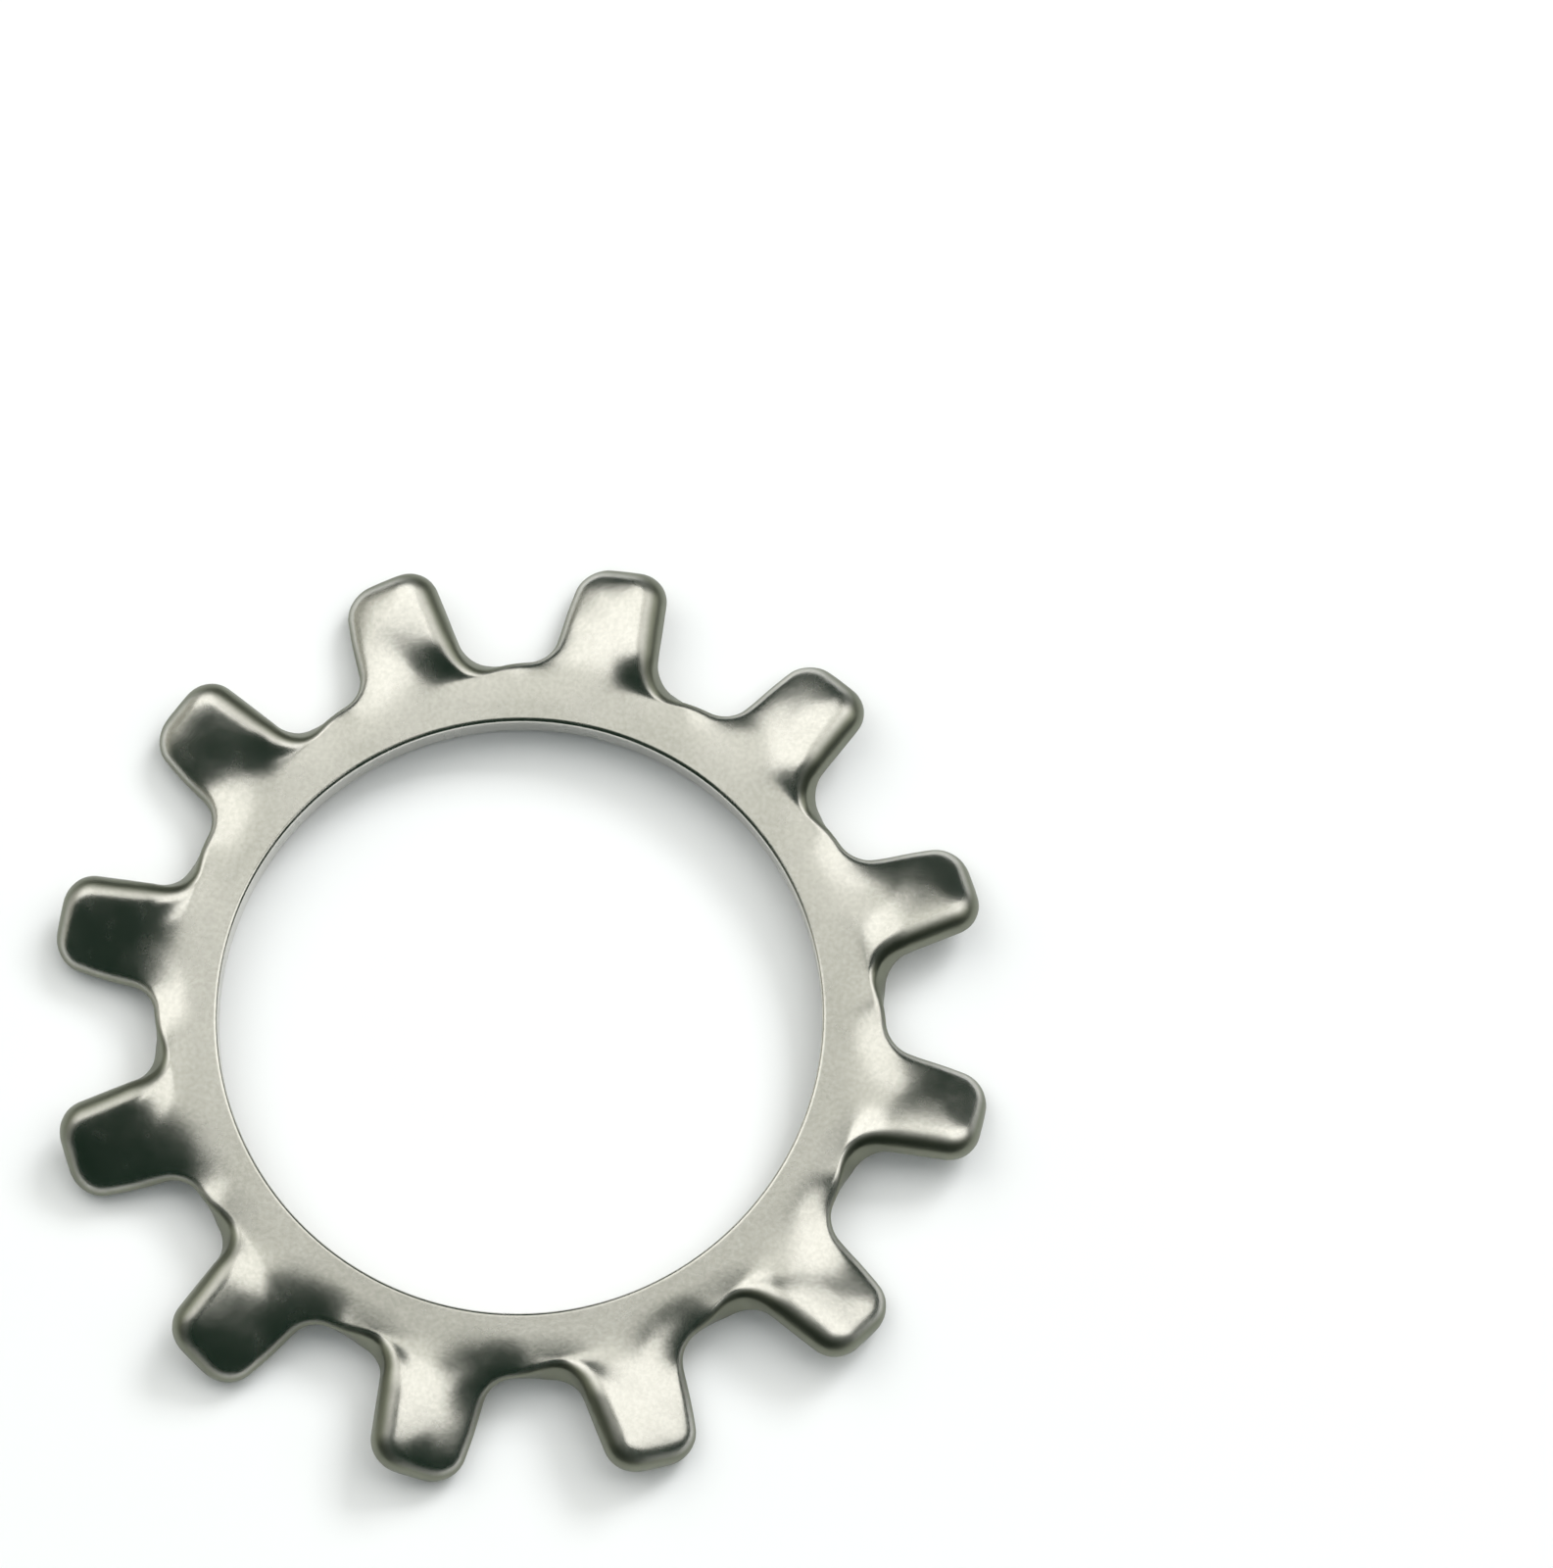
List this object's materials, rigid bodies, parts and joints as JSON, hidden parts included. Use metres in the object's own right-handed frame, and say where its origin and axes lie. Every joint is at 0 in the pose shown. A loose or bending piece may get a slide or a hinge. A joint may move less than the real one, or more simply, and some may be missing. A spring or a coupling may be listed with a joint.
{
  "type": "toothed lock washer",
  "caption": "Flat ring of spring steel sheet with outward teeth, each twisted about its own radial axis, for locking a bolt head or nut.",
  "frame": {"origin": "centre of the bore, halfway through the sheet", "axes": "+Z along the bore's axis, square to the flat ring; +X through the middle of one tooth"},
  "size_m": [0.033, 0.033, 0.0022],
  "materials": {
    "steel": "bright tumbled spring steel, satin sheen, broken edges"
  },
  "bodies": {
    "root": {"washer": "steel"}
  },
  "joints": []
}
